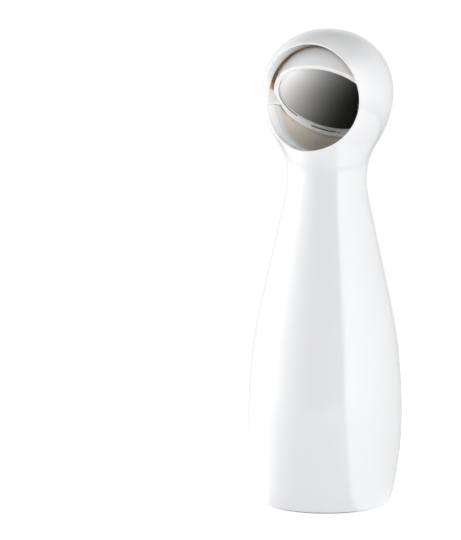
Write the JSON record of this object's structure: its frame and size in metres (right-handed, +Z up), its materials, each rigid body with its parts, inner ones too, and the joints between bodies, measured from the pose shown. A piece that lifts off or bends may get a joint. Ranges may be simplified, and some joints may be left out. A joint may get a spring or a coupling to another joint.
{
  "type": "automatic laser toy for cats",
  "caption": "Free-standing skittle-shaped toy whose motor swings a laser beam onto a tilting round mirror in the open head, which throws the dot over the floor.",
  "frame": {"origin": "centre of the base, on the surface the toy stands on", "axes": "+Z up the casing, -Y the side that the opening and the mirror face, +Y the side with the power button"},
  "size_m": [0.0748, 0.0748, 0.228],
  "materials": {
    "casing_white": "glossy",
    "button_grey": "glossy",
    "liner_ivory": "semi-gloss",
    "tray_white": "semi-gloss",
    "mirror_silver": "polished",
    "pad_foam": "matt foam",
    "washer_silicone": "matt",
    "inner_black": "matt",
    "inner_grey": "matt",
    "gear_acetal": "matt",
    "motor_steel": "plated",
    "steel": "bright",
    "brass": "bright",
    "armature_steel": "dull",
    "lens_glass": "clear",
    "board_green": "solder mask",
    "capacitor_can": "sleeved",
    "cell_can": "printed foil, plain",
    "nickel": "plated",
    "lead_insulation": "smooth",
    "foot_rubber": "matt"
  },
  "bodies": {
    "casing": {"front_shell": "casing_white", "rear_shell": "casing_white", "base_plate": "casing_white", "mirror_bowl": "liner_ivory", "ball_seat": "inner_grey", "ball_cap": "inner_grey", "seat_screws": "steel", "gear_axles": "steel", "gear_plate": "inner_grey", "gear_cover": "inner_grey", "gear_screws": "steel", "motor_can": "motor_steel", "motor_cap": "inner_black", "motor_terminals": "brass", "motor_leads": "lead_insulation", "main_board": "board_green", "power_switch": "inner_black", "control_chip": "inner_black", "capacitor": "capacitor_can", "board_screws": "steel", "power_cell_one": "cell_can", "power_cell_two": "cell_can", "power_cell_three": "cell_can", "power_cell_four": "cell_can", "battery_case": "inner_black", "case_screws": "steel", "terminal_plates": "nickel", "base_screws": "steel", "foot_ring": "foot_rubber", "casing_screws": "steel"},
    "mirror": {"mirror_frame": "tray_white", "mirror_dome": "tray_white", "mirror_glass": "mirror_silver", "mirror_pad": "pad_foam", "pivot_washers": "washer_silicone"},
    "button": {"power_button": "button_grey"},
    "plunger": {"switch_plunger": "button_grey"},
    "orbit": {"orbit_gear": "gear_acetal"},
    "transfer": {"transfer_gear": "gear_acetal"},
    "reduction": {"reduction_gear": "gear_acetal"},
    "rotor": {"motor_shaft": "steel", "motor_armature": "armature_steel", "motor_pinion": "brass"},
    "laser": {"laser_holder": "inner_black", "laser_barrel": "brass", "laser_lens": "lens_glass", "focus_ring": "brass", "laser_board": "board_green"},
    "door": {"battery_door": "casing_white", "door_screw": "steel", "door_contacts": "nickel"}
  },
  "joints": [
    {"name": "mirror_tilt", "type": "hinge", "parent": "casing", "child": "mirror", "pos_m": [0, 0.0008, 0.1956], "axis": [1, 0, 0], "range_deg": [-25, 25]},
    {"name": "power_button", "type": "slide", "parent": "casing", "child": "button", "axis": [0, -1, 0], "range_m": [0, 0.0006], "stiffness_N_per_m": 400},
    {"name": "switch_plunger", "type": "slide", "parent": "casing", "child": "plunger", "axis": [0, -1, 0], "range_m": [0, 0.0006]},
    {"name": "orbit_spin", "type": "hinge", "parent": "casing", "child": "orbit", "pos_m": [0, 0, 0.12], "axis": [0, 0, 1], "continuous": true},
    {"name": "transfer_spin", "type": "hinge", "parent": "casing", "child": "transfer", "pos_m": [0.01, -0.00577, 0.12], "axis": [0, 0, 1], "continuous": true},
    {"name": "reduction_spin", "type": "hinge", "parent": "casing", "child": "reduction", "pos_m": [0.00146, -0.01196, 0.12], "axis": [0, 0, 1], "continuous": true},
    {"name": "rotor_spin", "type": "hinge", "parent": "casing", "child": "rotor", "pos_m": [-0.00761, -0.00658, 0.11], "axis": [0, 0, 1], "continuous": true},
    {"name": "laser_nutation", "type": "hinge", "parent": "orbit", "child": "laser", "pos_m": [0, 0, 0.15], "axis": [0, -0.1045, 0.9945], "continuous": true},
    {"name": "battery_door", "type": "slide", "parent": "casing", "child": "door", "axis": [0, 0, -1], "range_m": [0, 0.06]}
  ],
  "couplings": [
    {"joint": "switch_plunger", "follows": "power_button", "ratio": 1},
    {"joint": "transfer_spin", "follows": "orbit_spin", "ratio": -3.6},
    {"joint": "reduction_spin", "follows": "orbit_spin", "ratio": 11.52},
    {"joint": "rotor_spin", "follows": "orbit_spin", "ratio": -36.864},
    {"joint": "laser_nutation", "follows": "orbit_spin", "ratio": -1}
  ]
}
